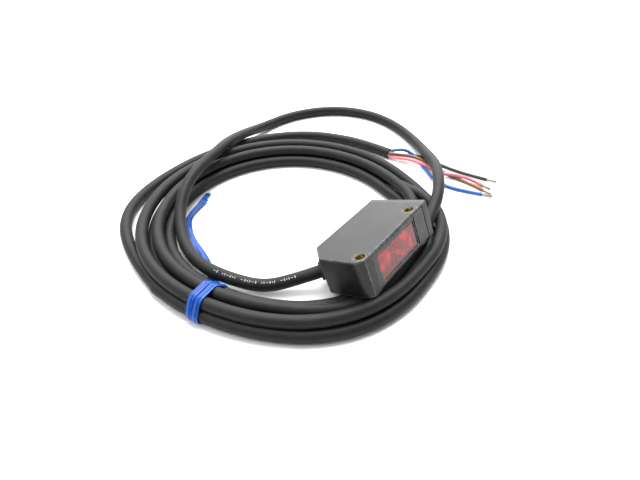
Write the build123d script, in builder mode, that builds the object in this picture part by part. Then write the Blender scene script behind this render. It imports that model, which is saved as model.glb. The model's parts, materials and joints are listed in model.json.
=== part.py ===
"""Photoelectric sensor lying on its coiled cable. Millimetres, +Z up, floor at Z = 0."""
import os
from math import cos, pi, radians, sin, tan

from build123d import *

os.makedirs("parts", exist_ok=True)

# Sensor body. u runs from the cable end to the top end, v from the back to the
# lens face, w from the side face that looks up to the one that looks down.
length = 34.6
depth = 19.6
thick = 11.3
cut = 5.3
lens_corner_r = 2.8
edge_r = 0.35
tilt = 23.08
wall = 0.9
back_wall = 1.3
cap_u = 31.9

# Fixing holes, right through the body
hole_us = (3.1, 28.5)
hole_v = 17.3
insert_r = 1.8
thread_r = 1.25
boss_r = 2.6
boss_v = 19.2
rim_chamfer = 0.3

# Lens face: cover, window and the two lenses behind it
cover_u = (4.65, 31.72)
cover_v = 18.7
cover_w = (0.95, 10.7)
recess_w = (0.72, 10.93)
panel_groove_u = 26.5
window_u = (6.8, 25.55)
opening_u = (6.75, 25.9)
opening_w = (2.0, 9.9)
window_w = (2.05, 9.85)
window_v = (18.2, 19.45)
lens_us = (11.1, 21.5)
lens_w = 5.95
lens_r = 3.6
lens_v = (15.6, 16.8, 18.0)
holder_v = (9.0, 15.6)

# Inside and top end
board_v = (5.2, 6.2)
board_w = (1.3, 10.0)
top_board_u = (27.6, 28.4)
dial_vs = (4.5, 9.5)
dial_w = 5.65
dial_r = 1.84
guide_ws = (3.5, 7.8)
guide_v = 13.2
guide_r = 0.9

# Cable, coil and conductors
cable_r = 1.9
wire_r = 0.6
tip_r = 0.42
coil_centre = (0.9, 32.5)
coil_inner_r = 36.3
coil_outer_r = 51.2
coil_top = 6.7
tie_angle = 188.0
tie_width = 4.0
tie_thick = 0.55

lens_dir = Vector(0, -cos(radians(tilt)), sin(radians(tilt)))
under_dir = Vector(0, -sin(radians(tilt)), -cos(radians(tilt)))
long_dir = Vector(1, 0, 0)
corner = Vector(-length / 2, (depth * -lens_dir.Y + thick * -under_dir.Y) / 2, thick * -under_dir.Z)


def at(u, v, w):
    """A point of the body, from its own three distances."""
    return corner + long_dir * u + lens_dir * v + under_dir * w


def side_plane(w):
    """Plane across the thickness: sketch axes u and v, normal along w."""
    return Plane(origin=at(0, 0, w), x_dir=long_dir, z_dir=under_dir)


def end_plane(u):
    """Plane across the length: sketch axes v and w, normal along u."""
    return Plane(origin=at(u, 0, 0), x_dir=lens_dir, z_dir=long_dir)


def lens_plane(v):
    """Plane across the depth: sketch axes u and minus w, normal along v."""
    return Plane(origin=at(0, v, 0), x_dir=long_dir, z_dir=lens_dir)


def slab(u, v, w, mode=Mode.ADD):
    """A block between two values of each of u, v and w, inside the open part."""
    with BuildSketch(side_plane(w[0])) as profile:
        with Locations(((u[0] + u[1]) / 2, (v[0] + v[1]) / 2)):
            Rectangle(u[1] - u[0], v[1] - v[0])
    extrude(profile.sketch, amount=w[1] - w[0], mode=mode)


def pegs(plane, centres, radius, height, mode=Mode.ADD):
    """Equal round pegs, or holes, standing on a plane, inside the open part."""
    with BuildSketch(plane) as profile:
        with Locations(*centres):
            Circle(radius)
    extrude(profile.sketch, amount=height, mode=mode)


def around(value, half):
    """The pair of values half each side of a middle value."""
    return (value - half, value + half)


def save(part, name):
    """Label a finished piece and write it to its own file."""
    part.label = name
    export_step(part, f"parts/{name}.step")


# ---------------------------------------------------------------- sensor body
hole_spots = [(u, hole_v) for u in hole_us]

with BuildPart() as housing:
    with BuildSketch(side_plane(0)):
        with BuildLine():
            Polyline((0, cut), (cut, 0), (cap_u, 0), (cap_u, depth), (0, depth), close=True)
        make_face()
    extrude(amount=thick)
    cross_edges = edges().filter_by(lambda e: abs(e.tangent_at(0).dot(under_dir)) > 0.99)
    fillet(cross_edges.group_by(Axis.X)[0].sort_by(Axis.Y)[0], lens_corner_r)
    seam_x = at(cap_u, 0, 0).X
    fillet(edges().filter_by(lambda e: abs(e.center().X - seam_x) > 0.01), edge_r)
    with BuildSketch(side_plane(wall)):
        with BuildLine():
            Polyline(
                (back_wall, cut + 0.4), (cut + 0.4, back_wall), (cap_u, back_wall), (cap_u, cover_v),
                (5.9, cover_v), (5.9, 14.6), (back_wall, 14.6), close=True,
            )
        make_face()
    extrude(amount=thick - 2 * wall, mode=Mode.SUBTRACT)
    slab((cover_u[0] - 0.12, cap_u), (cover_v, depth + 1), recess_w, Mode.SUBTRACT)
    pegs(side_plane(0), hole_spots, boss_r, thick)
    slab((-1, cap_u), (depth, depth + 2), (-1, thick + 1), Mode.SUBTRACT)
    slab((cover_u[0] - 0.12, cap_u), (boss_v, depth + 1), recess_w, Mode.SUBTRACT)
    pegs(side_plane(0), hole_spots, insert_r, thick, Mode.SUBTRACT)
    hole_rims = edges().filter_by(GeomType.CIRCLE).filter_by(lambda e: abs(e.radius - insert_r) < 0.01)
    chamfer(hole_rims, rim_chamfer)
    cut_middle = at(cut / 2, cut / 2, thick / 2)
    cable_dir = (long_dir + lens_dir) * -(0.5 ** 0.5)
    cable_plane = Plane(origin=cut_middle, x_dir=under_dir, z_dir=cable_dir)
    pegs(cable_plane, [(0, 0)], 2.3, -3, Mode.SUBTRACT)
save(housing.part, "housing")

with BuildPart() as front_cover:
    slab(cover_u, (cover_v, depth), cover_w)
    slab(opening_u, (0, depth + 1), opening_w, Mode.SUBTRACT)
    pegs(side_plane(0), hole_spots, boss_r + 0.1, thick, Mode.SUBTRACT)
    skin_v = (boss_v + 0.05, depth)
    slab(around(hole_us[1], boss_r + 0.1), skin_v, cover_w)
    slab((cover_u[0], hole_us[0] + boss_r + 0.1), skin_v, cover_w)
    slab(around(panel_groove_u, 0.12), (depth - 0.2, depth + 1), (0, thick), Mode.SUBTRACT)
save(front_cover.part, "front_cover")

with BuildPart() as window:
    slab(window_u, window_v, window_w)
    slab((6.3, 26.0), (window_v[0], cover_v - 0.05), (1.5, 10.1))
    lens_face = faces().sort_by(lambda f: f.center().dot(lens_dir))[-1]
    fillet(lens_face.edges(), 0.25)
save(window.part, "window")

with BuildPart() as lens_block:
    slab((7.0, 25.6), lens_v[:2], (1.8, 10.1))
    dome_rise = lens_v[2] - lens_v[1]
    dome_r = (lens_r ** 2 + dome_rise ** 2) / (2 * dome_rise)
    for lens_u in lens_us:
        with BuildSketch(Plane(origin=at(lens_u, lens_v[1], lens_w), x_dir=long_dir, z_dir=under_dir)):
            with BuildLine():
                RadiusArc((0, dome_rise), (lens_r, 0), dome_r)
                Polyline((lens_r, 0), (0, 0), (0, dome_rise))
            make_face()
        revolve(axis=Axis(at(lens_u, 0, lens_w), lens_dir))
save(lens_block.part, "lens_block")

with BuildPart() as lens_holder:
    slab((6.6, 25.6), holder_v, (1.4, 10.1))
    for lens_u in lens_us:
        with BuildSketch(lens_plane(holder_v[0])):
            with Locations((lens_u, -lens_w)):
                Circle(1.6)
        with BuildSketch(lens_plane(holder_v[1])):
            with Locations((lens_u, -lens_w)):
                Circle(lens_r)
        loft(mode=Mode.SUBTRACT)
save(lens_holder.part, "lens_holder")

# -------------------------------------------------------- boards and circuits
with BuildPart() as main_board:
    slab((8.0, 27.4), board_v, board_w)
save(main_board.part, "main_board")

with BuildPart() as emitter_led:
    slab(around(lens_us[0], 1.6), (board_v[1], 7.0), around(lens_w, 1.6))
    pegs(lens_plane(7.0), [(lens_us[0], -lens_w)], 1.3, 1.2)
save(emitter_led.part, "emitter_led")

with BuildPart() as receiver_diode:
    slab(around(lens_us[1], 1.5), (board_v[1], 7.6), around(lens_w, 1.5))
save(receiver_diode.part, "receiver_diode")

with BuildPart() as shield_can:
    slab(around(lens_us[1], 2.8), (board_v[1], 8.7), around(lens_w, 3.0))
    slab(around(lens_us[1], 2.5), (board_v[1], 8.4), around(lens_w, 2.7), Mode.SUBTRACT)
    pegs(lens_plane(8.0), [(lens_us[1], -lens_w)], 1.3, 1.0, Mode.SUBTRACT)
save(shield_can.part, "shield_can")

with BuildPart() as control_chip:
    slab((13.5, 19.5), (4.0, board_v[0]), (2.8, 8.8))
save(control_chip.part, "control_chip")

with BuildPart() as board_parts:
    for part_u in (10.0, 11.8, 21.5, 23.3, 25.1):
        for part_w in (3.0, 5.6, 8.2):
            slab(around(part_u, 0.5), (4.5, board_v[0]), around(part_w, 0.8))
save(board_parts.part, "board_parts")

with BuildPart() as top_board:
    slab(top_board_u, (1.5, 14.3), board_w)
save(top_board.part, "top_board")

led_names = ("power_led", "output_led")
for led_name, guide_w in zip(led_names, guide_ws):
    with BuildPart() as indicator:
        slab((top_board_u[1], 29.2), around(guide_v, 0.8), around(guide_w, 0.8))
    save(indicator.part, led_name)

# ------------------------------------------------------------------- top end
with BuildPart() as end_cap:
    slab((cap_u, length), (0, depth), (0, thick))
    fillet(edges().filter_by(lambda e: abs(e.center().X - seam_x) > 0.01), edge_r)
    slab((31.25, cap_u), (1.4, 18.6), (1.0, 10.3))
    slab((31.2, 33.4), (2.2, 17.8), (1.8, 9.5), Mode.SUBTRACT)
    pegs(end_plane(33), [(v, dial_w) for v in dial_vs], dial_r + 0.06, 2, Mode.SUBTRACT)
    pegs(end_plane(33), [(guide_v, w) for w in guide_ws], guide_r, 2, Mode.SUBTRACT)
save(end_cap.part, "end_cap")

with BuildPart() as cap_gasket:
    slab((31.25, 31.85), (2.25, 17.75), (1.85, 9.45))
    slab((31.2, 31.9), (2.75, 17.25), (2.35, 8.95), Mode.SUBTRACT)
save(cap_gasket.part, "cap_gasket")

guide_names = ("power_guide", "output_guide")
for guide_name, guide_w in zip(guide_names, guide_ws):
    with BuildPart() as light_guide:
        pegs(end_plane(29.25), [(guide_v, guide_w)], guide_r - 0.02, length - 29.25)
        pegs(end_plane(32.8), [(guide_v, guide_w)], guide_r + 0.4, 0.55)
    save(light_guide.part, guide_name)

# Each dial sits in a bored body on the top board and turns in the end cap.
base_names = ("mode_switch", "gain_trimmer")
dial_names = ("mode_dial", "gain_dial")
for base_name, dial_name, dial_v in zip(base_names, dial_names, dial_vs):
    with BuildPart() as dial_base:
        slab((top_board_u[1], 31.1), around(dial_v, 2.45), around(dial_w, 2.6))
        pegs(end_plane(30), [(dial_v, dial_w)], 0.86, 2, Mode.SUBTRACT)
    save(dial_base.part, base_name)
    with BuildPart() as dial:
        pegs(end_plane(30.3), [(dial_v, dial_w)], 0.8, 2.5)
        pegs(end_plane(32.7), [(dial_v, dial_w)], 2.2, 0.65)
        pegs(end_plane(33.3), [(dial_v, dial_w)], dial_r, 1.05)
        slab((33.8, 35), around(dial_v, 1.35), around(dial_w, 0.28), Mode.SUBTRACT)
        if dial_name == "gain_dial":
            slab((33.8, 35), around(dial_v, 0.28), around(dial_w, 1.35), Mode.SUBTRACT)
    save(dial.part, dial_name)

# --------------------------------------------------------- threads and cable
for insert_name, insert_u in zip(("lower_insert", "upper_insert"), hole_us):
    with BuildPart() as insert:
        pegs(side_plane(0.1), [(insert_u, hole_v)], insert_r, thick - 0.2)
        pegs(side_plane(0), [(insert_u, hole_v)], thread_r, thick, Mode.SUBTRACT)
        rims = edges().filter_by(GeomType.CIRCLE).sort_by(lambda e: e.radius)[:2]
        chamfer(rims, 0.25)
    save(insert.part, insert_name)

collar_out = 0.8
with BuildPart() as cable_bushing:
    pegs(cable_plane, [(0, 0)], 2.75, collar_out)
    pegs(cable_plane, [(0, 0)], 2.28, -2.0)
    pegs(cable_plane.offset(-1.25), [(0, 0)], 2.9, -0.75)
    pegs(cable_plane.offset(1), [(0, 0)], cable_r + 0.02, -4, Mode.SUBTRACT)
save(cable_bushing.part, "cable_bushing")

with BuildPart() as cable_stub:
    pegs(cable_plane.offset(collar_out), [(0, 0)], cable_r, -4.6)
save(cable_stub.part, "cable_stub")

with BuildPart() as cable_clamp:
    pegs(cable_plane.offset(-2.3), [(0, 0)], 2.4, -1.0)
    pegs(cable_plane, [(0, 0)], cable_r + 0.02, -5, Mode.SUBTRACT)
save(cable_clamp.part, "cable_clamp")

with BuildPart() as inner_leads:
    for lead_w in (4.25, 5.2, 6.15, 7.1):
        with BuildLine() as lead_path:
            FilletPolyline(at(5.4, 5.4, lead_w), at(6.65, 6.65, lead_w), at(9.4, 6.65, lead_w), radius=1.0)
        with BuildSketch(Plane(origin=at(5.4, 5.4, lead_w), x_dir=under_dir, z_dir=cable_dir * -1)):
            Circle(0.42)
        sweep(path=lead_path.line)
save(inner_leads.part, "inner_leads")


def tube(points, radius, name):
    """Straight runs joined by tangent arcs, as large as the two runs allow."""
    corners = [Vector(*p) for p in points]
    radii = []
    for before, here, after in zip(corners, corners[1:], corners[2:]):
        turn = radians((here - before).get_angle(after - here))
        shorter = min((here - before).length, (after - here).length)
        radii.append(0.45 * shorter / tan(turn / 2))
    with BuildPart() as piece:
        with BuildLine() as path:
            FilletPolyline(*corners, radius=radii)
        with BuildSketch(Plane(origin=corners[0], z_dir=corners[1] - corners[0])):
            Circle(radius)
        sweep(path=path.line)
    run = sum(edge.length for edge in path.edges())
    filled = piece.part.volume / (pi * radius ** 2 * run)
    print(f"{name}: {run:.1f} long, least radius {min(radii):.1f}, volume {filled:.4f} of section by length")
    save(piece.part, name)


# The loose loop, from the bushing round the outside and back over the coil.
exit_point = cut_middle + cable_dir * collar_out
loop_route = [
    tuple(exit_point), tuple(exit_point + cable_dir * 7.6),
    (-26.8, 18.4, 2.2), (-30.8, 26.9, 3.3), (-32.2, 38.0, 3.3), (-28.2, 50.0, 1.9), (-21.9, 59.4, 4.4),
    (-14.0, 65.4, 8.4), (-4.8, 69.1, 10.4), (7.6, 72.6, 10.4), (18.6, 77.1, 9.0), (31.2, 81.4, 5.6),
    (46.0, 84.0, 1.9), (60.5, 81.5, 1.9), (73.0, 74.0, 1.9), (81.0, 63.5, 1.9), (83.8, 51.0, 1.9),
    (81.2, 38.5, 1.9), (74.8, 26.5, 1.9), (65.5, 16.0, 3.6), (54.8, 7.2, 7.4), (44.0, 0.5, 10.4),
    (34.5, -4.2, 10.4), (26.5, -6.9, 7.4),
]
tube(loop_route, cable_r, "cable_loop")

# The last turn, which leaves the coil and ends in the four conductors.
tail_route = [
    (-37.1, 66.8, 1.9), (-32.5, 74.2, 1.9), (-25.6, 80.4, 1.9), (-15.0, 84.6, 1.9), (-2.6, 86.2, 1.9),
    (11.3, 85.8, 1.9), (27.2, 81.9, 1.9), (41.3, 74.4, 1.9), (52.0, 63.2, 1.9), (57.5, 49.8, 1.9),
    (59.2, 38.4, 1.9), (58.9, 28.4, 1.9),
]
tube(tail_route, cable_r, "cable_tail")

with BuildPart() as twist_tie:
    tie_spot = Vector(*coil_centre)
    tie_out = Vector(cos(radians(tie_angle)), sin(radians(tie_angle)), 0)
    tie_along = tie_out.cross(Vector(0, 0, 1))
    with BuildSketch(Plane(origin=tie_spot - tie_along * (tie_width / 2), x_dir=tie_out, z_dir=tie_along)):
        with BuildLine():
            Polyline(
                (coil_inner_r - 0.6, 0), (coil_outer_r + 0.6, 0), (coil_outer_r + 0.6, 3.2),
                (coil_outer_r - 2.2, coil_top + 0.7), (coil_inner_r + 2.4, coil_top + 0.7),
                (coil_inner_r - 0.6, 3.2), close=True,
            )
        make_face()
        fillet(vertices(), 1.4)
        offset(amount=-tie_thick, kind=Kind.INTERSECTION, mode=Mode.SUBTRACT)
    extrude(amount=tie_width)
save(twist_tie.part, "twist_tie")

with BuildPart() as cable_coil:
    with BuildSketch(Plane(origin=Vector(*coil_centre), x_dir=(1, 0, 0), z_dir=(0, -1, 0))):
        with BuildLine():
            Polyline(
                (coil_inner_r, 0), (coil_outer_r, 0), (coil_outer_r, 2.6), (coil_outer_r - 2.6, coil_top),
                (coil_inner_r + 2.8, coil_top), (coil_inner_r, 2.6), close=True,
            )
        make_face()
        fillet(vertices(), 1.2)
    revolve(axis=Axis(Vector(*coil_centre), (0, 0, 1)))
    slab((-0.3, length + 0.3), (-0.3, depth + 0.3), (-2, thick + 0.12), Mode.SUBTRACT)
    add(twist_tie.part, mode=Mode.SUBTRACT)
save(cable_coil.part, "cable_coil")

tie_tail_routes = (
    [
        (-33.8, 30.2, 0.35), (-28.0, 39.5, 0.35), (-24.6, 49.4, 0.35), (-20.9, 57.0, 0.35),
        (-14.6, 63.4, 0.35), (-2.5, 67.0, 0.35),
    ],
    [
        (-33.8, 31.4, 1.0), (-28.2, 40.5, 1.0), (-24.8, 50.2, 1.0), (-20.6, 58.0, 1.0),
        (-15.4, 62.6, 1.0), (-6.0, 64.6, 1.0),
    ],
)
with BuildPart() as tie_tails:
    for tail_points in tie_tail_routes:
        with BuildLine() as tail_line:
            FilletPolyline(*tail_points, radius=7)
        start = Vector(*tail_points[0])
        with BuildSketch(Plane(origin=start, x_dir=(0, 0, 1), z_dir=Vector(*tail_points[1]) - start)):
            Rectangle(tie_thick, tie_width / 2)
        sweep(path=tail_line.line)
save(tie_tails.part, "tie_tails")

# Each conductor runs from the end of the jacket to its bare tinned tip.
wire_routes = {
    "blue": [
        (59.6, 28.05, 2.60), (60.8, 26.6, 3.4), (63.2, 23.6, 3.3), (64.3, 20.2, 1.5), (62.9, 16.6, 0.6),
        (58.8, 12.2, 0.6), (54.6, 6.6, 0.6), (53.0, 0.4, 0.6), (54.2, -6.0, 0.6), (56.0, -11.8, 0.6),
        (57.2, -15.4, 0.6),
    ],
    "brown": [
        (58.25, 28.25, 2.55), (58.8, 25.8, 2.6), (60.8, 22.0, 2.5), (62.3, 16.8, 2.2), (62.2, 10.6, 0.9),
        (60.9, 4.2, 0.6), (60.2, -2.0, 0.6), (59.6, -7.2, 0.6), (58.7, -11.0, 0.6), (57.9, -14.4, 0.6),
    ],
    "pink": [
        (58.2, 28.25, 1.18), (58.1, 25.4, 1.5), (59.4, 20.0, 2.1), (60.2, 13.8, 2.0), (58.8, 6.8, 0.8),
        (60.1, 0.2, 2.1), (61.9, -5.2, 1.2), (61.6, -9.6, 0.6), (61.0, -13.0, 0.6),
    ],
    "black": [
        (59.65, 28.0, 1.2), (61.6, 26.2, 0.7), (65.4, 21.8, 0.6), (66.8, 15.4, 0.6), (65.3, 8.4, 0.6),
        (65.0, 1.4, 0.6), (65.6, -4.8, 0.6), (66.3, -9.4, 0.6), (66.9, -12.9, 0.6),
    ],
}
for colour, wire_route in wire_routes.items():
    tube(wire_route[:-1], wire_r, f"{colour}_wire")
    tip_start = Vector(*wire_route[-2])
    tip_end = Vector(*wire_route[-1])
    with BuildPart() as tip:
        with BuildSketch(Plane(origin=tip_start, z_dir=tip_end - tip_start)):
            Circle(tip_r)
        extrude(amount=(tip_end - tip_start).length)
    save(tip.part, f"{colour}_tip")
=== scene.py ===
"""Looks of the photoelectric sensor on its coiled cable. Metres, in the CAD model's frame."""
import json
from itertools import product
from math import cos, hypot, pi, radians, sin

import bmesh
import bpy
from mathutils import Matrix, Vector


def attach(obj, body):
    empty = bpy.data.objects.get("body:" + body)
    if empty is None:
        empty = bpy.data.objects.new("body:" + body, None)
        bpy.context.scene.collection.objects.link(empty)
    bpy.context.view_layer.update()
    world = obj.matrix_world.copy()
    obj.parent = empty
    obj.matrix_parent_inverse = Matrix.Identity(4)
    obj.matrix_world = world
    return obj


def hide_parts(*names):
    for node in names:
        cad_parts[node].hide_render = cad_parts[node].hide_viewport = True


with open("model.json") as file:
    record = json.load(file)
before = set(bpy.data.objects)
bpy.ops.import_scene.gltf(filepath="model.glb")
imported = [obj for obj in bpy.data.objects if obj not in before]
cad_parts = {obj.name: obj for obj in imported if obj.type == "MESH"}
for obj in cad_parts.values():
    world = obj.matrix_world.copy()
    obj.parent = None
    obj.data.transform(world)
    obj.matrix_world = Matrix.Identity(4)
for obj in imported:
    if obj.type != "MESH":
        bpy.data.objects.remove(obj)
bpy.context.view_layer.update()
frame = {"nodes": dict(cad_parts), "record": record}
MM = 0.001
BODY = next(b for b, nodes in frame["record"]["behaviour"]["bodies"].items() if "housing" in nodes)

# ------------------------------------------------------------------ camera
camera = bpy.data.objects.new("camera", bpy.data.cameras.new("camera"))
bpy.context.scene.collection.objects.link(camera)
camera.location = (-0.0940, -0.05194, 0.10036)
camera.rotation_euler = (radians(49.89), 0, radians(-53.05))
camera.data.lens = 27.3
camera.data.sensor_width = 36
camera.data.clip_start = 0.005
bpy.context.scene.camera = camera

# --------------------------------------------------------------- materials
class Nodes:
    """A material's node tree, with short ways to add to it."""

    def __init__(self, name):
        self.mat = bpy.data.materials.new(name)
        self.mat.use_nodes = True
        self.tree = self.mat.node_tree
        self.bsdf = self.tree.nodes["Principled BSDF"]
        self.place = self.node("ShaderNodeTexCoord").outputs["Object"]

    def node(self, kind, **settings):
        made = self.tree.nodes.new(kind)
        for key, value in settings.items():
            setattr(made, key, value)
        return made

    def link(self, out, into):
        self.tree.links.new(out, into)

    def noise(self, size_mm, detail=3.0, rough=0.55, stretch=(1, 1, 1)):
        """Noise whose features are about this many millimetres across."""
        mapping = self.node("ShaderNodeMapping")
        mapping.inputs["Scale"].default_value = [1000 / size_mm / s for s in stretch]
        self.link(self.place, mapping.inputs["Vector"])
        tex = self.node("ShaderNodeTexNoise")
        tex.inputs["Scale"].default_value = 1.0
        tex.inputs["Detail"].default_value = detail
        tex.inputs["Roughness"].default_value = rough
        self.link(mapping.outputs["Vector"], tex.inputs["Vector"])
        return tex.outputs["Fac"]

    def steps(self, fac, stops):
        """Colour ramp from (position, value or colour) pairs."""
        ramp = self.node("ShaderNodeValToRGB")
        while len(ramp.color_ramp.elements) < len(stops):
            ramp.color_ramp.elements.new(0.5)
        for element, (position, value) in zip(ramp.color_ramp.elements, stops):
            element.position = position
            element.color = (*value, 1) if hasattr(value, "__len__") else (value, value, value, 1)
        self.link(fac, ramp.inputs["Fac"])
        return ramp.outputs["Color"]

    def mix(self, fac, a, b):
        """Colour a turning into colour b; each of the three is a socket, a colour or a number."""
        made = self.node("ShaderNodeMix", data_type="RGBA")
        for socket, value in ((made.inputs[0], fac), (made.inputs[6], a), (made.inputs[7], b)):
            if isinstance(value, bpy.types.NodeSocket):
                self.link(value, socket)
            elif hasattr(value, "__len__"):
                socket.default_value = (*value, 1)
            else:
                socket.default_value = value
        return made.outputs[2]

    def bump(self, height, depth_mm, after=None):
        """Normal with this relief, on top of another normal if one is given."""
        made = self.node("ShaderNodeBump")
        made.inputs["Strength"].default_value = 1.0
        made.inputs["Distance"].default_value = depth_mm * MM
        self.link(height, made.inputs["Height"])
        if after is not None:
            self.link(after, made.inputs["Normal"])
        return made.outputs["Normal"]

    def edges(self, radius_mm):
        """1 on edges, where the lighter colour goes that is partly wear and partly a painted highlight; 0 on flat
        surface.
        """
        bevel = self.node("ShaderNodeBevel", samples=4)
        bevel.inputs["Radius"].default_value = radius_mm * MM
        normal = self.node("ShaderNodeNewGeometry").outputs["Normal"]
        dot = self.node("ShaderNodeVectorMath", operation="DOT_PRODUCT")
        self.link(bevel.outputs["Normal"], dot.inputs[0])
        self.link(normal, dot.inputs[1])
        return self.steps(dot.outputs["Value"], [(0.965, 1.0), (0.999, 0.0)])


def finish_of(name, base, vary=0.25, rough=0.5, rough_vary=0.1, metal=0.0, grain=0.25, grain_depth=0.01,
              mottle=3.0, dust=0.0, dust_colour=(0.45, 0.44, 0.42), wear_and_highlight=0.0, wear_and_highlight_colour=None,
              scratches=0.0, **sockets):
    """A worked surface: colour mottling, grain bump, uneven gloss, dust, lighter edges that are partly real wear and
    partly a painted highlight, and fine scratches.
    """
    n = Nodes(name)
    broad, fine = n.noise(mottle, 4.0), n.noise(grain, 5.0, 0.6)
    dark = [c * (1 - vary) for c in base]
    light = [min(1.0, c * (1 + vary)) for c in base]
    colour = n.steps(broad, [(0.3, dark), (0.7, light)])
    if dust:
        specks = n.steps(n.noise(0.35, 6.0, 0.75), [(0.62, 0.0), (0.74, dust)])
        film = n.steps(n.noise(6.0, 3.0, 0.7), [(0.45, 0.0), (0.8, dust * 0.35)])
        colour = n.mix(specks, colour, dust_colour)
        colour = n.mix(film, colour, dust_colour)
    if wear_and_highlight:
        # Lighter edges: partly real wear, partly a painted highlight standing for the glint along rounded edges.
        worn_and_highlit = n.mix(n.steps(n.noise(1.1, 5.0, 0.7), [(0.35, 0.15), (0.65, 1.0)]), (0, 0, 0), n.edges(0.6))
        worn_and_highlit = n.mix(wear_and_highlight, (0, 0, 0), worn_and_highlit)
        colour = n.mix(worn_and_highlit, colour, wear_and_highlight_colour or [min(1.0, c * 2.5 + 0.04) for c in base])
    n.link(colour, n.bsdf.inputs["Base Color"])
    glossier, duller = max(0.03, rough - rough_vary), min(1.0, rough + rough_vary)
    n.link(n.steps(n.mix(0.5, broad, fine), [(0.3, glossier), (0.7, duller)]), n.bsdf.inputs["Roughness"])
    normal = n.bump(fine, grain_depth)
    if scratches:
        lines = n.steps(n.noise(0.3, 2.0, 0.5, stretch=(25, 1, 1)), [(0.66, 0.0), (0.7, 1.0)])
        normal = n.bump(lines, scratches, normal)
    n.link(normal, n.bsdf.inputs["Normal"])
    n.bsdf.inputs["Metallic"].default_value = metal
    for key, value in sockets.items():
        socket = n.bsdf.inputs[key.replace("_", " ")]
        socket.default_value = (*value, 1) if hasattr(value, "__len__") else value
    return n.mat


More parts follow.
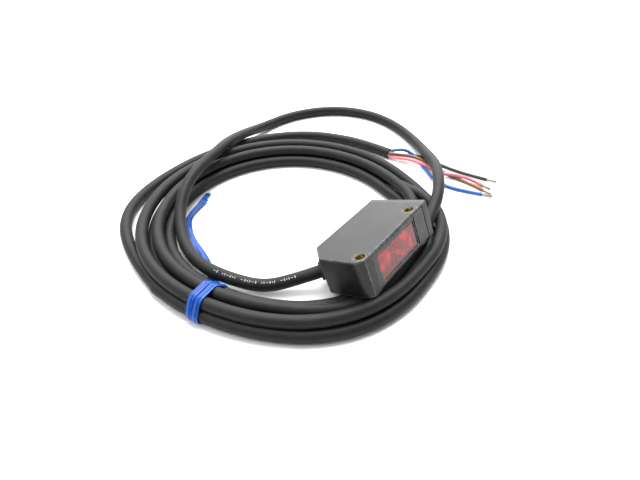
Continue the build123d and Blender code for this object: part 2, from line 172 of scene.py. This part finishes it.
# The lighter edge colours given here are partly real wear and partly a painted highlight.
MATERIALS = {
    "housing_black": finish_of("housing_black", (0.008, 0.0083, 0.0088), 0.25, 0.38, 0.08, grain=0.22,
                               grain_depth=0.012, dust=0.13, dust_colour=(0.28, 0.28, 0.29), wear_and_highlight=0.8,
                               wear_and_highlight_colour=(0.26, 0.26, 0.27), scratches=0.004, Specular_IOR_Level=0.32),
    "cover_grey": finish_of("cover_grey", (0.016, 0.0165, 0.018), 0.15, 0.34, 0.08, grain=0.18, grain_depth=0.006,
                            dust=0.22, wear_and_highlight=0.7, wear_and_highlight_colour=(0.28, 0.28, 0.28), scratches=0.002,
                            Specular_IOR_Level=0.36),
    "cap_black": finish_of("cap_black", (0.008, 0.0083, 0.0088), 0.2, 0.36, 0.08, grain=0.22, grain_depth=0.008,
                           dust=0.2, wear_and_highlight=0.8, wear_and_highlight_colour=(0.30, 0.30, 0.31), scratches=0.002,
                           Specular_IOR_Level=0.36),
    "holder_black": finish_of("holder_black", (0.05, 0.012, 0.012), 0.2, 0.6, 0.1, grain=0.3, grain_depth=0.01),
    "board_green": finish_of("board_green", (0.012, 0.10, 0.040), 0.3, 0.35, 0.1, grain=0.3, grain_depth=0.012,
                             mottle=1.5, Coat_Weight=0.4),
    "chip_black": finish_of("chip_black", (0.018, 0.018, 0.020), 0.2, 0.5, 0.1, grain=0.12, grain_depth=0.008),
    "chip_tan": finish_of("chip_tan", (0.42, 0.29, 0.17), 0.25, 0.45, 0.1, grain=0.12, grain_depth=0.008,
                          mottle=0.8),
    "tinplate": finish_of("tinplate", (0.62, 0.61, 0.58), 0.15, 0.28, 0.12, metal=1.0, grain=0.4,
                          grain_depth=0.006, scratches=0.004, mottle=1.2),
    "led_clear": finish_of("led_clear", (0.80, 0.74, 0.62), 0.1, 0.15, 0.05, grain=0.4, grain_depth=0.002,
                           Transmission_Weight=0.5),
    "diode_dark": finish_of("diode_dark", (0.03, 0.012, 0.020), 0.2, 0.15, 0.05, grain=0.4, grain_depth=0.002,
                            Transmission_Weight=0.2),
    "guide_clear": finish_of("guide_clear", (0.42, 0.45, 0.41), 0.06, 0.16, 0.06, grain=0.5, grain_depth=0.002,
                             Transmission_Weight=0.45, dust=0.1),
    "dial_white": finish_of("dial_white", (0.34, 0.335, 0.31), 0.08, 0.46, 0.08, grain=0.2, grain_depth=0.006,
                            dust=0.15, dust_colour=(0.2, 0.19, 0.17), wear_and_highlight=0.4, wear_and_highlight_colour=(0.8, 0.8, 0.78)),
    "base_blue": finish_of("base_blue", (0.02, 0.06, 0.22), 0.2, 0.45, 0.1, grain=0.2, grain_depth=0.008),
    "seal_rubber": finish_of("seal_rubber", (0.025, 0.025, 0.026), 0.25, 0.75, 0.1, grain=0.12, grain_depth=0.01),
    "brass": finish_of("brass", (0.15, 0.118, 0.062), 0.3, 0.34, 0.14, metal=1.0, grain=0.15, grain_depth=0.008,
                       mottle=0.9, dust=0.35, dust_colour=(0.10, 0.065, 0.03)),
    "wire_brown": finish_of("wire_brown", (0.19, 0.085, 0.030), 0.15, 0.34, 0.06, grain=0.15, grain_depth=0.004,
                            dust=0.12),
    "wire_blue": finish_of("wire_blue", (0.010, 0.115, 0.46), 0.15, 0.30, 0.06, grain=0.15, grain_depth=0.004,
                           dust=0.1),
    "wire_pink": finish_of("wire_pink", (0.72, 0.19, 0.23), 0.12, 0.34, 0.06, grain=0.15, grain_depth=0.004,
                           dust=0.1),
    "wire_black": finish_of("wire_black", (0.020, 0.020, 0.021), 0.2, 0.34, 0.06, grain=0.15, grain_depth=0.004,
                            dust=0.15),
    "tinned_copper": finish_of("tinned_copper", (0.30, 0.26, 0.205), 0.3, 0.32, 0.12, metal=1.0, grain=0.08,
                               grain_depth=0.008, mottle=0.5),
    "tie_blue": finish_of("tie_blue", (0.0006, 0.060, 0.33), 0.12, 0.22, 0.06, grain=0.35, grain_depth=0.010,
                          mottle=1.5, dust=0.03, Specular_IOR_Level=0.3),
    "cable_pvc": finish_of("cable_pvc", (0.0098, 0.0096, 0.0093), 0.25, 0.56, 0.08, grain=0.16, grain_depth=0.010,
                           mottle=2.2, dust=0.12, dust_colour=(0.17, 0.165, 0.16), scratches=0.003,
                           Specular_IOR_Level=0.24),
    "print_grey": finish_of("print_grey", (0.34, 0.34, 0.33), 0.25, 0.6, 0.1, grain=0.1, grain_depth=0.004,
                            mottle=0.3),
    # seam_dark is painted shade: near-black for the shadow inside the body's seams.
    "seam_dark": finish_of("seam_dark", (0.002, 0.002, 0.002), 0.2, 0.8, 0.1, grain=0.2, grain_depth=0.004,
                           Specular_IOR_Level=0.08),
    "filler": finish_of("filler", (0.55, 0.53, 0.48), 0.2, 0.8, 0.1, grain=0.12, grain_depth=0.02, mottle=0.5),
}


def window_material():
    """Smoked red acrylic: partly seen through, with a hazy sheen and fine dust."""
    n = Nodes("window_red")
    colour = n.steps(n.noise(5.0, 3.0), [(0.3, (0.26, 0.018, 0.025)), (0.7, (0.36, 0.05, 0.055))])
    specks = n.steps(n.noise(0.3, 6.0, 0.75), [(0.60, 0.0), (0.74, 0.28)])
    colour = n.mix(specks, colour, (0.62, 0.34, 0.35))
    n.link(colour, n.bsdf.inputs["Base Color"])
    n.link(n.steps(n.noise(1.5, 4.0), [(0.3, 0.04), (0.7, 0.12)]), n.bsdf.inputs["Roughness"])
    n.link(n.bump(n.noise(2.5, 2.0), 0.008), n.bsdf.inputs["Normal"])
    n.bsdf.inputs["Transmission Weight"].default_value = 0.68
    n.bsdf.inputs["IOR"].default_value = 1.49
    return n.mat


def lens_material():
    """Clear lens plate with painted glints: patches of red emission stand in for lamp reflections in its lens domes.
    """
    n = Nodes("lens_clear")
    # Painted glints: the plate glows in red patches that stand in for reflections; it is no lamp.
    painted_glints = n.steps(n.noise(3.2, 1.5, 0.4), [(0.55, (0.06, 0.003, 0.003)), (0.60, (1.0, 0.05, 0.04))])
    n.link(painted_glints, n.bsdf.inputs["Emission Color"])
    n.bsdf.inputs["Emission Strength"].default_value = 3.4
    n.link(n.steps(n.noise(4.0), [(0.3, (0.60, 0.12, 0.12)), (0.7, (0.75, 0.22, 0.2))]), n.bsdf.inputs["Base Color"])
    n.link(n.steps(n.noise(1.0), [(0.3, 0.05), (0.7, 0.12)]), n.bsdf.inputs["Roughness"])
    n.bsdf.inputs["Transmission Weight"].default_value = 0.3
    n.bsdf.inputs["IOR"].default_value = 1.58
    return n.mat


MATERIALS["window_red"] = window_material()
MATERIALS["lens_clear"] = lens_material()


# ------------------------------------------------------------ mesh helpers
def mesh_piece(name, verts, faces, material, smooth=True):
    """A mesh object from points and faces, in metres, riding on the sensor's body."""
    mesh = bpy.data.meshes.new(name)
    mesh.from_pydata([tuple(v) for v in verts], [], faces)
    mesh.validate()
    made = bpy.data.objects.new(name, mesh)
    bpy.context.scene.collection.objects.link(made)
    bm = bmesh.new()
    bm.from_mesh(mesh)
    bmesh.ops.recalc_face_normals(bm, faces=bm.faces)
    for face in bm.faces:
        face.smooth = smooth
    bm.to_mesh(mesh)
    bm.free()
    mesh.materials.append(MATERIALS[material])
    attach(made, BODY)
    return made


def grid_faces(rows, columns, close_rows=False, close_columns=True, start=0):
    """Faces of a grid of points stored row by row."""
    out = []
    for i in range(rows if close_rows else rows - 1):
        for j in range(columns if close_columns else columns - 1):
            a, b = i % rows, (i + 1) % rows
            c, d = j % columns, (j + 1) % columns
            out.append([start + row * columns + column for row, column in ((a, c), (b, c), (b, d), (a, d))])
    return out


def turned(name, origin, axis, profile, material, sides=48):
    """A turned piece: profile is (radius, height along axis) pairs in metres."""
    axis = Vector(axis).normalized()
    x = axis.orthogonal().normalized()
    y = axis.cross(x)
    verts = [
        Vector(origin) + axis * h + x * (r * cos(2 * pi * j / sides)) + y * (r * sin(2 * pi * j / sides))
        for r, h in profile for j in range(sides)
    ]
    return mesh_piece(name, verts, grid_faces(len(profile), sides), material)


def spline_object(name, points_mm, steps):
    """A curve object with one NURBS spline through these control points, and the points along it."""
    curve = bpy.data.curves.new(name, "CURVE")
    curve.dimensions = "3D"
    spline = curve.splines.new("NURBS")
    spline.points.add(len(points_mm) - 1)
    for point, place in zip(spline.points, points_mm):
        point.co = (*(c * MM for c in place), 1)
    spline.order_u = 3
    spline.use_endpoint_u = True
    curve.resolution_u = steps
    made = bpy.data.objects.new(name, curve)
    bpy.context.scene.collection.objects.link(made)
    line = bpy.data.meshes.new_from_object(made.evaluated_get(bpy.context.evaluated_depsgraph_get()))
    centre = [v.co.copy() for v in line.vertices]
    bpy.data.meshes.remove(line)
    return made, centre


def cable(name, points_mm, radius_mm, material, sections, steps):
    """A round cord along such a spline, with its centreline and its length in metres."""
    made, centre = spline_object(name, points_mm, steps)
    curve = made.data
    curve.bevel_depth = radius_mm * MM
    curve.bevel_resolution = sections
    curve.use_fill_caps = True
    curve.materials.append(MATERIALS[material])
    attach(made, BODY)
    run = sum((b - a).length for a, b in zip(centre, centre[1:]))
    return made, centre, run


# ----------------------------------------------------------- the one cable
CABLE_R = 1.9
CENTRE = (0.9, 32.5)
# Directions from the coil's centre, in degrees: the tie, and the places left and right of the body.
TIE_AT, LEFT_AT, RIGHT_AT = -172.0, -113, -60
TIE_LIFT = 0.5
# Each turn's radius and height, how far its radius moves at the tie, left and right, and its height left and right.
TURNS = (
    (41.4, 4.8, -1.3, 2.4, 1.9, -1.2, -1.5),
    (38.4, 1.9, -1.4, 1.6, 1.2, 0.0, 0.0),
    (43.4, 1.9, -1.4, 3.2, 3.4, 0.0, 0.0),
    (46.4, 4.8, -2.0, 1.2, 3.3, 0.5, 0.3),
    (48.6, 1.9, -2.4, 1.4, 2.2, 0.0, 0.0),
)
# Angles between which the cable passes from one turn to the next, and where it steps over its neighbour.
CROSSINGS = ((-402, -430), (-750, -778), (-1098, -1126), (-1446, -1474))
STEP_OVER_AT, STEP_OVER_HALF, STEP_OVER_HEIGHT = -406, 26, 1.6
FIRST_ANGLE, LAST_ANGLE, STEP = -72, -1632, 15


def swell(angle, middle, half):
    """A smooth rise to 1 at the middle direction, 0 beyond half a width from it."""
    t = abs((angle - middle + 180) % 360 - 180) / half
    return 0.0 if t >= 1 else (1 - t * t) ** 2


def turn_at(turn, angle):
    """Radius and height of one turn in this direction."""
    radius, height, tie, left, right, left_z, right_z = turn
    at_tie, at_left, at_right = swell(angle, TIE_AT, 50), swell(angle, LEFT_AT, 34), swell(angle, RIGHT_AT, 34)
    radius = radius + at_tie * tie + at_left * left + at_right * right
    return radius, height + at_left * left_z + at_right * right_z + TIE_LIFT * swell(angle, TIE_AT, 30)


def wound(angle):
    """Radius and height of the winding, whose angle keeps falling as it goes round."""
    radius, height = turn_at(TURNS[0], angle)
    for (start, end), before, after in zip(CROSSINGS, TURNS, TURNS[1:]):
        t = min(1.0, max(0.0, (start - angle) / (start - end)))
        t = t * t * (3 - 2 * t)
        r0, z0 = turn_at(before, angle)
        r1, z1 = turn_at(after, angle)
        radius += (r1 - r0) * t
        height += (z1 - z0) * t
    t = abs(angle - STEP_OVER_AT) / STEP_OVER_HALF
    return radius, height + (STEP_OVER_HEIGHT * (1 - t * t) ** 2 if t < 1 else 0.0)


loop_route = [
    (-15.22, 7.10, 6.02), (-20.59, 12.04, 3.91), (-26.8, 18.4, 2.2), (-30.8, 26.9, 3.3), (-32.2, 38.0, 3.3),
    (-28.2, 50.0, 1.9), (-21.9, 59.4, 4.4), (-14.0, 65.4, 8.4), (-4.8, 69.1, 10.4), (7.6, 72.6, 10.4),
    (18.6, 77.1, 9.0), (31.2, 81.4, 5.6), (46.0, 84.0, 1.9), (60.5, 81.5, 1.9), (73.0, 74.0, 1.9),
    (81.0, 63.5, 1.9), (83.8, 51.0, 1.9), (81.2, 38.5, 1.9), (74.8, 26.5, 1.9), (65.5, 16.0, 3.6),
    (54.8, 7.2, 7.4), (44.0, 0.7, 9.6), (35.0, -3.8, 9.4), (26.6, -5.9, 7.2),
]
tail_route = [
    (-44.7, 43.0, 1.9), (-43.0, 50.6, 1.9), (-40.5, 58.6, 1.9), (-37.1, 66.8, 1.9), (-32.5, 74.2, 1.9),
    (-25.6, 80.4, 1.9), (-15.0, 84.6, 1.9), (-2.6, 86.2, 1.9), (11.3, 85.8, 1.9), (27.2, 81.9, 1.9),
    (41.3, 74.4, 1.9), (52.0, 63.2, 1.9), (57.5, 49.8, 1.9), (59.2, 38.4, 1.9), (58.9, 28.4, 1.9),
]
winding = []
fuller = (1 + 1 / cos(radians(STEP / 2))) / 2  # a spline runs inside its control points
for angle in range(FIRST_ANGLE, LAST_ANGLE - 1, -STEP):
    radius, height = wound(angle)
    winding.append((
        CENTRE[0] + radius * fuller * cos(radians(angle)), CENTRE[1] + radius * fuller * sin(radians(angle)), height,
    ))
jacket, jacket_line, jacket_length = cable(
    "cable_jacket", loop_route + winding + tail_route, CABLE_R, "cable_pvc", sections=7, steps=7,
)
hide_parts("cable_loop", "cable_coil", "cable_tail")


def along(line, distance):
    """Point and direction at a distance along a centreline."""
    for a, b in zip(line, line[1:]):
        step = (b - a).length
        if distance <= step:
            return a.lerp(b, distance / step), (b - a).normalized()
        distance -= step
    return line[-1].copy(), (line[-1] - line[-2]).normalized()


# Cut end of the jacket: a rounded lip, and the filler round the conductors.
end_place, end_way = jacket_line[-1], (jacket_line[-1] - jacket_line[-3]).normalized()
lip = turned("jacket_lip", end_place, end_way, [
    (1.905e-3, -0.5e-3), (1.93e-3, -0.2e-3), (1.88e-3, 0.02e-3), (1.72e-3, 0.12e-3), (1.5e-3, 0.10e-3),
    (1.38e-3, 0.0), (1.36e-3, -0.4e-3), (1.5e-3, -0.5e-3), (1.905e-3, -0.5e-3),
], "cable_pvc")
plug = turned("jacket_filler", end_place, end_way, [
    (1.40e-3, -0.3e-3), (1.38e-3, 0.03e-3), (1.1e-3, 0.08e-3), (0.6e-3, 0.02e-3), (0.02e-3, 0.06e-3),
], "filler", sides=32)

# Faint printed ticks along the near stretch of the jacket.
tick_verts, tick_faces = [], []
place = 7.0
for index in range(26):
    long_mm, half_turn = ((0.30, 11.0), (0.75, 2.2), (0.22, 11.0), (0.30, 6.0))[index % 4]
    for row in range(4):
        point, way = along(jacket_line, (place + long_mm * row / 3) * MM)
        side = way.cross(Vector((0, 0, 1))).normalized()
        up = side.cross(way)
        for column in range(5):
            turn = radians(-24 + (column - 2) * half_turn / 2)
            tick_verts.append(point + (up * cos(turn) + side * sin(turn)) * (CABLE_R + 0.012) * MM)
    tick_faces += grid_faces(4, 5, close_columns=False, start=index * 20)
    place += long_mm + (1.5 if index % 6 == 5 else 0.38)
ticks = mesh_piece("jacket_ticks", tick_verts, tick_faces, "print_grey")

# ---------------------------------------------------------- the conductors
WIRE_R = 0.6
STRANDS, STRAND_ROWS, STRAND_SIDES, STRAND_R = 8, 15, 7, 0.125
wire_routes = {
    "blue": [
        (59.6, 28.6, 2.60), (60.8, 26.6, 3.4), (63.2, 23.6, 3.3), (64.3, 20.2, 1.5), (62.9, 16.6, 0.6),
        (58.8, 12.2, 0.6), (54.6, 6.6, 0.6), (53.0, 0.4, 0.6), (54.2, -6.0, 0.6), (56.0, -11.8, 0.6),
        (57.2, -15.4, 0.6),
    ],
    "brown": [
        (58.25, 28.6, 2.55), (58.8, 25.8, 2.6), (60.8, 22.0, 2.5), (62.3, 16.8, 2.2), (62.2, 10.6, 0.9),
        (60.9, 4.2, 0.6), (60.2, -2.0, 0.6), (59.6, -7.2, 0.6), (58.7, -11.0, 0.6), (57.9, -14.4, 0.6),
    ],
    "pink": [
        (58.2, 28.6, 1.18), (58.1, 25.4, 1.5), (59.4, 20.0, 2.1), (60.2, 13.8, 2.0), (58.8, 6.8, 0.8),
        (60.1, 0.2, 2.1), (61.9, -5.2, 1.2), (61.6, -9.6, 0.6), (61.0, -13.0, 0.6),
    ],
    "black": [
        (59.65, 28.6, 1.2), (61.6, 26.2, 0.7), (65.4, 21.8, 0.6), (66.8, 15.4, 0.6), (65.3, 8.4, 0.6),
        (65.0, 1.4, 0.6), (65.6, -4.8, 0.6), (66.3, -9.4, 0.6), (66.9, -12.9, 0.6),
    ],
}
for colour, route in wire_routes.items():
    wire, wire_line, wire_length = cable(f"{colour}_conductor", route[:-1], WIRE_R, f"wire_{colour}", 4, 8)
    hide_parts(f"{colour}_wire")
    start, finish = (Vector(p) * MM for p in route[-2:])
    way = (finish - start).normalized()
    side = way.cross(Vector((0, 0, 1))).normalized()
    up = side.cross(way)
    length = (finish - start).length
    verts, faces = [], []
    for strand in range(STRANDS):
        reach = length * (1.0 - 0.07 * ((strand * 3) % 5) / 4)
        base = len(verts)
        for row in range(STRAND_ROWS):
            t = row / (STRAND_ROWS - 1)
            ring = 0.0 if strand == STRANDS - 1 else 0.27 - 0.03 * t
            if t > 0.75:
                ring += (t - 0.75) * (0.2 if strand % 2 else 0.5)
            turn = 2 * pi * (strand / (STRANDS - 1) + 0.9 * t)
            middle = start + way * (reach * t - 0.0004 * (1 - t)) + (side * cos(turn) + up * sin(turn)) * ring * MM
            for j in range(STRAND_SIDES):
                a = 2 * pi * j / STRAND_SIDES
                verts.append(middle + (side * cos(a) + up * sin(a)) * STRAND_R * MM)
        faces += grid_faces(STRAND_ROWS, STRAND_SIDES, start=base)
        first_ring = list(range(base, base + STRAND_SIDES))
        faces += [first_ring, [i + (STRAND_ROWS - 1) * STRAND_SIDES for i in first_ring]]
    tip = mesh_piece(f"{colour}_strands", verts, faces, "tinned_copper")
    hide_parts(f"{colour}_tip")
    cut = turned(f"{colour}_collar", wire_line[-1], way, [
        (0.605e-3, -0.25e-3), (0.625e-3, -0.1e-3), (0.60e-3, 0.02e-3), (0.5e-3, 0.06e-3), (0.36e-3, 0.0),
    ], f"wire_{colour}", sides=24)

# --------------------------------------------------------------- twist tie
tie_angle = radians(TIE_AT)
out_way = Vector((cos(tie_angle), sin(tie_angle), 0))
tie_middle = Vector((CENTRE[0], CENTRE[1], 0)) * MM
tie_way = Vector((-out_way.y, out_way.x, 0))


def hull(points):
    """Convex outline of 2-D points, anticlockwise."""
    points = sorted(points)
    outline = []
    for ordered in (points, points[::-1]):
        side = []
        for p in ordered:
            while len(side) > 1:
                (ax, ay), (bx, by) = side[-2:]
                if (bx - ax) * (p[1] - ay) - (by - ay) * (p[0] - ax) > 0:
                    break
                side.pop()
            side.append(p)
        outline += side[:-1]
    return outline


def spread(outline, count):
    """The closed outline again, as evenly spaced points."""
    ring = outline + outline[:1]
    lengths = [hypot(b[0] - a[0], b[1] - a[1]) for a, b in zip(ring, ring[1:])]
    total, out = sum(lengths), []
    for i in range(count):
        left = total * i / count
        for (a, b), step in zip(zip(ring, ring[1:]), lengths):
            if left <= step:
                out.append((a[0] + (b[0] - a[0]) * left / step, a[1] + (b[1] - a[1]) * left / step))
                break
            left -= step
    return out


bundle = [turn_at(turn, TIE_AT) for turn in TURNS]
around_bundle = hull([
    (r + (CABLE_R + 0.1) * cos(2 * pi * j / 24), z + (CABLE_R + 0.1) * sin(2 * pi * j / 24))
    for r, z in bundle for j in range(24)
])
tie_path = spread(around_bundle, 96)


def ribbon_height(across):
    """Thickness of the ribbon over its width, thicker over its wire."""
    return 0.22 + 0.22 * max(0.0, 1 - (across / 0.42) ** 2)


def band(name, offset, lift, wave):
    """One wound ribbon: a closed strip round the bundle, raised in the middle over its wire, above the floor."""
    profile = [(-1, 0.05), (-0.97, 0.18)] + [(x / 8, None) for x in range(-7, 8)] + [(0.97, 0.18), (1, 0.05)]
    verts = []
    count = len(tie_path)
    for i, (r, z) in enumerate(tie_path):
        before, after = tie_path[i - 1], tie_path[(i + 1) % count]
        n = Vector((after[1] - before[1], 0, before[0] - after[0])).normalized()
        sway = wave * sin(2 * pi * i / count) + 0.06 * sin(6 * pi * i / count)
        for x, height in profile:
            h = (ribbon_height(x) if height is None else height) + lift
            spot = out_way * (r + n.x * h) + Vector((0, 0, max(0.03, z + n.z * h)))
            verts.append(tie_middle + (spot + tie_way * (offset + x + sway)) * MM)
        for x in (0.97, 0.0, -0.97):
            h = lift - 0.02
            spot = out_way * (r + n.x * h) + Vector((0, 0, max(0.01, z + n.z * h)))
            verts.append(tie_middle + (spot + tie_way * (offset + x + sway)) * MM)
    columns = len(profile) + 3
    return mesh_piece(name, verts, grid_faces(count, columns, close_rows=True), "tie_blue")


near_band = band("tie_band_near", -1.08, 0.0, 0.25)
far_band = band("tie_band_far", 1.02, 0.03, 0.10)
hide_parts("twist_tie")

tie_tail_routes = (
    [
        (-33.8, 30.2, 0.46), (-28.0, 39.5, 0.46), (-24.6, 49.4, 0.46), (-20.9, 57.0, 0.46), (-14.6, 63.4, 0.46),
        (-2.5, 67.0, 0.46),
    ],
    [
        (-33.8, 31.4, 1.1), (-28.2, 40.5, 1.1), (-24.8, 50.2, 1.1), (-20.6, 58.0, 1.1), (-15.4, 62.6, 1.1),
        (-6.0, 64.6, 1.1),
    ],
)


for index, route in enumerate(tie_tail_routes):
    guide, line = spline_object("guide", route, steps=8)
    bpy.data.objects.remove(guide)
    verts = []
    for i, point in enumerate(line):
        way = (line[min(i + 1, len(line) - 1)] - line[max(i - 1, 0)]).normalized()
        side = way.cross(Vector((0, 0, 1))).normalized()
        up = side.cross(way)
        twist = 0.35 * sin(3.0 * i / len(line) * pi + index)
        side, up = side * cos(twist) + up * sin(twist), up * cos(twist) - side * sin(twist)
        for x in [k / 6 for k in range(-6, 7)]:
            verts.append(point + (side * x * 0.98 + up * (ribbon_height(x) - 0.14)) * MM)
        for x in (1.0, 0.0, -1.0):
            verts.append(point + (side * x * 0.96 - up * 0.12) * MM)
    columns = 16
    faces = grid_faces(len(line), columns)
    faces += [list(range(columns)), list(range((len(line) - 1) * columns, len(line) * columns))]
    tail = mesh_piece(f"tie_tail_{index + 1}", verts, faces, "tie_blue")
    if index == 0:
        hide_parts("tie_tails")

# --------------------------------------------- the body: threads and seams
LENGTH, DEPTH, THICK, TILT = 34.6, 19.6, 11.3, radians(23.08)
V_WAY = Vector((0, -cos(TILT), sin(TILT)))
W_WAY = Vector((0, -sin(TILT), -cos(TILT)))
U_WAY = Vector((1, 0, 0))
CORNER = Vector((-LENGTH / 2, (DEPTH * cos(TILT) + THICK * sin(TILT)) / 2, THICK * cos(TILT)))


def at(u, v, w):
    """A place on the body, in metres, from its own distances in millimetres."""
    return (CORNER + U_WAY * u + V_WAY * v + W_WAY * w) * MM


# Threaded brass inserts with a real helical thread, sunk a little below both faces.
SUNK, HOLE_V = 0.1, 17.3
for name, u in (("lower", 3.1), ("upper", 28.5)):
    verts, columns, pitch = [], 36, 0.5
    heights = [SUNK + (THICK - 2 * SUNK) * i / 176 for i in range(177)]
    inner = []
    for h in heights:
        for j in range(columns):
            phase = (h / pitch - j / columns) % 1
            cutin = 0.24 * (1 - abs(2 * phase - 1))
            easing = min(1.0, (h - SUNK) / 0.35, (THICK - SUNK - h) / 0.35)
            inner.append((1.26 + cutin * easing + 0.22 * (1 - easing), h, j))
    points = [(r, SUNK, j) for r in (1.8, 1.78, 1.52) for j in range(columns)] + inner
    points += [(r, THICK - SUNK, j) for r in (1.52, 1.78, 1.8) for j in range(columns)]
    for r, h, j in points:
        a = 2 * pi * j / columns
        verts.append(at(u + r * cos(a), HOLE_V + r * sin(a), h))
    piece = mesh_piece(f"{name}_thread", verts, grid_faces(len(points) // columns, columns, close_rows=True),
                       "brass")
    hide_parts(f"{name}_insert")


def strips(name, runs, material):
    """Thin closed bars lying on the body: start, end, half width and outward direction of each."""
    verts, faces = [], []
    for start, end, across, outward in runs:
        start, end, across = at(*start), at(*end), across * MM
        base = len(verts)
        for place, side, lift in product((start, end), (-1, 1), (-0.10, 0.02)):
            verts.append(place + across * side + outward * (lift * MM))
        faces += [[base + i for i in face] for face in
                  ((0, 1, 3, 2), (4, 5, 7, 6), (0, 1, 5, 4), (2, 3, 7, 6), (0, 2, 6, 4), (1, 3, 7, 5))]
    return mesh_piece(name, verts, faces, material, smooth=False)


# Painted shade: near-black bars laid on the gaps round the end cap and the front cover, where their shadow falls.
FRONT, CAP_SEAM = DEPTH, 31.86
strips("painted_seam_shade", [
    ((CAP_SEAM, FRONT, 0.5), (CAP_SEAM, FRONT, THICK - 0.5), U_WAY * 0.22, V_WAY),
    ((26.3, FRONT, 1.3), (26.3, FRONT, THICK - 1.3), U_WAY * 0.26, V_WAY),
    ((4.6, FRONT, 0.8), (4.6, FRONT, THICK - 0.8), U_WAY * 0.11, V_WAY),
    ((4.6, FRONT, 0.83), (CAP_SEAM, FRONT, 0.83), W_WAY * 0.10, V_WAY),
    ((4.6, FRONT, THICK - 0.47), (CAP_SEAM, FRONT, THICK - 0.47), W_WAY * 0.10, V_WAY),
    ((CAP_SEAM, 0.3, 0), (CAP_SEAM, FRONT - 0.3, 0), U_WAY * 0.10, -W_WAY),
    ((CAP_SEAM, 0.3, THICK), (CAP_SEAM, FRONT - 0.3, THICK), U_WAY * 0.10, W_WAY),
    ((CAP_SEAM, 0, 0.3), (CAP_SEAM, 0, THICK - 0.3), U_WAY * 0.10, -V_WAY),
], "seam_dark")
# Scale marks beside the two dials: each dial's place, and its marks' directions in degrees.
DIAL_W = 5.65
scale_marks = []
for dial_v, stops in ((4.5, (0, 90)), (9.5, range(-120, 121, 40))):
    for stop in stops:
        c, s = cos(radians(stop)), sin(radians(stop))
        inner, outer = ((LENGTH, dial_v + r * c, DIAL_W + r * s) for r in (2.06, 2.42))
        scale_marks.append((inner, outer, (V_WAY * -s + W_WAY * c) * 0.07, U_WAY))
strips("dial_scales", scale_marks, "print_grey")

# ------------------------------------------------------- CAD nodes' finish
for node in frame["nodes"].values():
    for own in node.material_slots:
        own.material = MATERIALS[own.material.name.split(".")[0]]
    node.data.polygons.foreach_set("use_smooth", [True] * len(node.data.polygons))
    split = node.modifiers.new("creases", "EDGE_SPLIT")
    split.split_angle = radians(32)

# ------------------------------------------------------- floor and lights
floor_mat = Nodes("floor_white")
mottled = floor_mat.steps(floor_mat.noise(25, 3), [(0.3, 0.86), (0.7, 0.90)])
floor_mat.link(mottled, floor_mat.bsdf.inputs["Base Color"])
floor_mat.bsdf.inputs["Roughness"].default_value = 0.6
floor_mat.bsdf.inputs["Specular IOR Level"].default_value = 0.2
mesh = bpy.data.meshes.new("floor")
mesh.from_pydata([(-3, -3, 0), (3, -3, 0), (3, 3, 0), (-3, 3, 0)], [], [(0, 1, 2, 3)])
floor = bpy.data.objects.new("floor", mesh)
mesh.materials.append(floor_mat.mat)
bpy.context.scene.collection.objects.link(floor)

# A pale sky, brightest beyond the object, as if from a window or a large softbox there.
world = bpy.data.worlds.new("studio")
bpy.context.scene.world = world
world.use_nodes = True
sky = world.node_tree
direction = sky.nodes.new("ShaderNodeTexCoord").outputs["Generated"]
toward = sky.nodes.new("ShaderNodeVectorMath")
toward.operation = "DOT_PRODUCT"
toward.inputs[1].default_value = Vector((0.66, 0.50, 0.56)).normalized()
sky.links.new(direction, toward.inputs[0])
ramp = sky.nodes.new("ShaderNodeValToRGB")
ramp.color_ramp.interpolation = "EASE"
for stop, (position, value) in zip(
    (ramp.color_ramp.elements[0], ramp.color_ramp.elements[1], ramp.color_ramp.elements.new(0.5)),
    ((0.0, 0.10), (0.96, 1.0), (0.56, 0.12)),
):
    stop.position = position
    stop.color = (value, value, value * 1.01, 1)
sky.links.new(toward.outputs["Value"], ramp.inputs["Fac"])
sky.links.new(ramp.outputs["Color"], sky.nodes["Background"].inputs["Color"])
sky.nodes["Background"].inputs["Strength"].default_value = 4.3


def softbox(name, place, side, power):
    """A square light, aimed at the middle of the object."""
    data = bpy.data.lights.new(name, "AREA")
    data.size = side
    data.energy = power
    made = bpy.data.objects.new(name, data)
    made.location = place
    made.rotation_euler = (Vector((0.0, 0.03, 0)) - Vector(place)).to_track_quat("-Z", "Y").to_euler()
    bpy.context.scene.collection.objects.link(made)


softbox("key", (0.20, 0.17, 0.70), 0.40, 6.8)
softbox("fill", (-0.40, 0.30, 0.65), 0.5, 3)

bpy.context.scene.view_settings.view_transform = "Standard"
bpy.context.view_layer.update()
